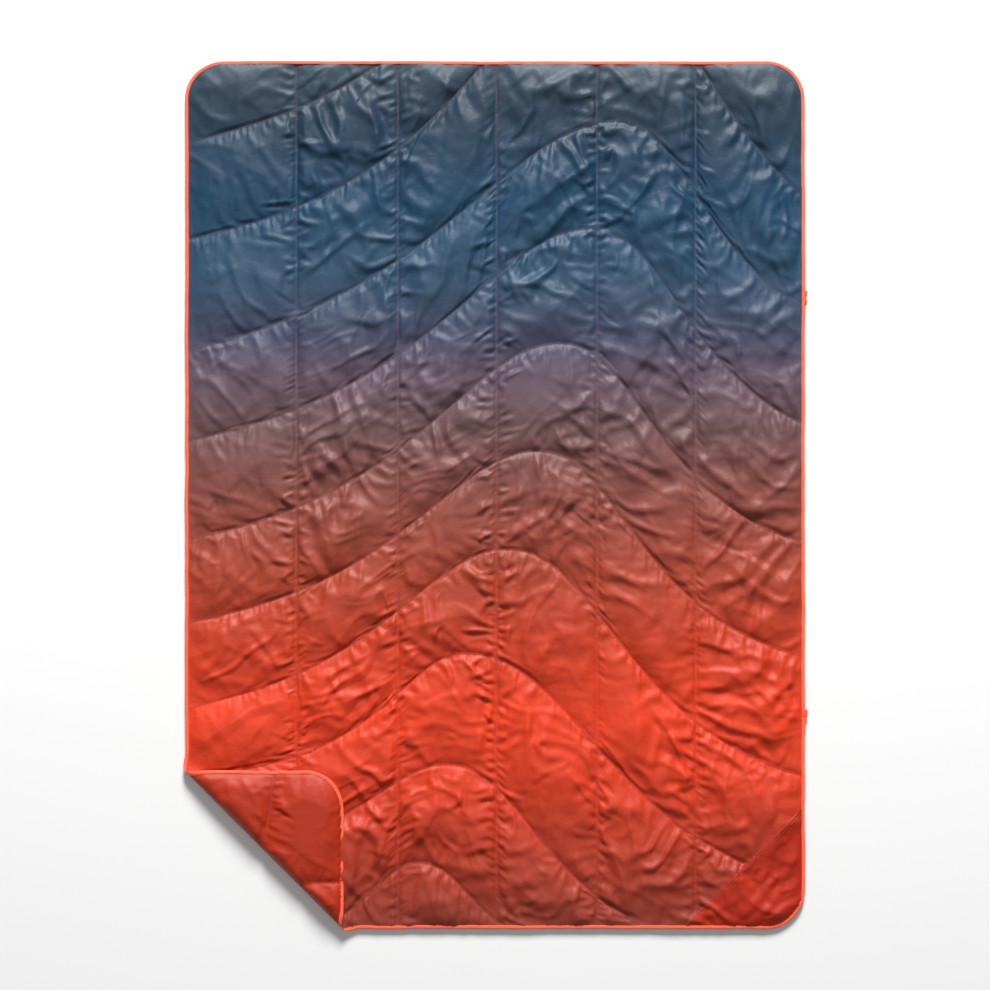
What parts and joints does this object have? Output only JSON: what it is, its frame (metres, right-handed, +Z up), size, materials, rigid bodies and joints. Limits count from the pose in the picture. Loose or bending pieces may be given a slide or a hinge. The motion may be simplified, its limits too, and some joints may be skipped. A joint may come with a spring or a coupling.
{
  "type": "camp blanket",
  "caption": "Quilted insulated throw with a bound edge, a plain corner panel, a clip and a tape loop on one long edge, one corner folded over.",
  "frame": {"origin": "centre of the flat underside that the blanket lies on", "axes": "+Z up out of the printed face, +Y along the length towards the head, +X towards the edge with the clip and the loop"},
  "size_m": [1.2757, 1.778, 0.0376],
  "materials": {
    "printed_shell": "satin",
    "back_shell": "satin",
    "insulation": "matte",
    "binding": "matte",
    "binding_thread": "matte",
    "quilt_thread": "matte",
    "panel": "satin",
    "panel_thread": "matte",
    "tape": "matte",
    "clip_plastic": "satin"
  },
  "bodies": {
    "blanket": {"front_shell": "printed_shell", "back_shell": "back_shell", "insulation": "insulation", "edge_binding": "binding", "binding_thread": "binding_thread", "quilt_thread_columns": "quilt_thread", "quilt_thread_waves": "quilt_thread", "corner_panel": "panel", "panel_thread": "panel_thread", "clip_tape": "tape"},
    "folded_corner": {"corner_front_shell": "printed_shell", "corner_back_shell": "back_shell", "corner_insulation": "insulation", "corner_edge_binding": "binding", "corner_binding_thread": "binding_thread", "corner_quilt_thread": "quilt_thread"},
    "clip": {"clip_body": "clip_plastic"},
    "gate": {"clip_gate": "clip_plastic"},
    "loop": {"loop_tape": "tape"}
  },
  "joints": [
    {"name": "corner_fold", "type": "hinge", "parent": "blanket", "child": "folded_corner", "pos_m": [-0.599, -0.599, 0.0188], "axis": [0.7071, -0.7071, 0], "range_deg": [0, 180]},
    {"name": "clip_swing", "type": "hinge", "parent": "blanket", "child": "clip", "pos_m": [0.6368, 0.407, 0.0022], "axis": [0, -1, 0], "range_deg": [0, 180]},
    {"name": "gate_press", "type": "hinge", "parent": "clip", "child": "gate", "pos_m": [0.6227, 0.417, 0.0022], "axis": [0, 0, 1], "range_deg": [0, 25], "stiffness_Nm_per_rad": 0.02},
    {"name": "loop_bend", "type": "hinge", "parent": "blanket", "child": "loop", "pos_m": [0.635, -0.447, 0.009], "axis": [0, 1, 0], "range_deg": [-45, 45], "stiffness_Nm_per_rad": 0.002}
  ]
}
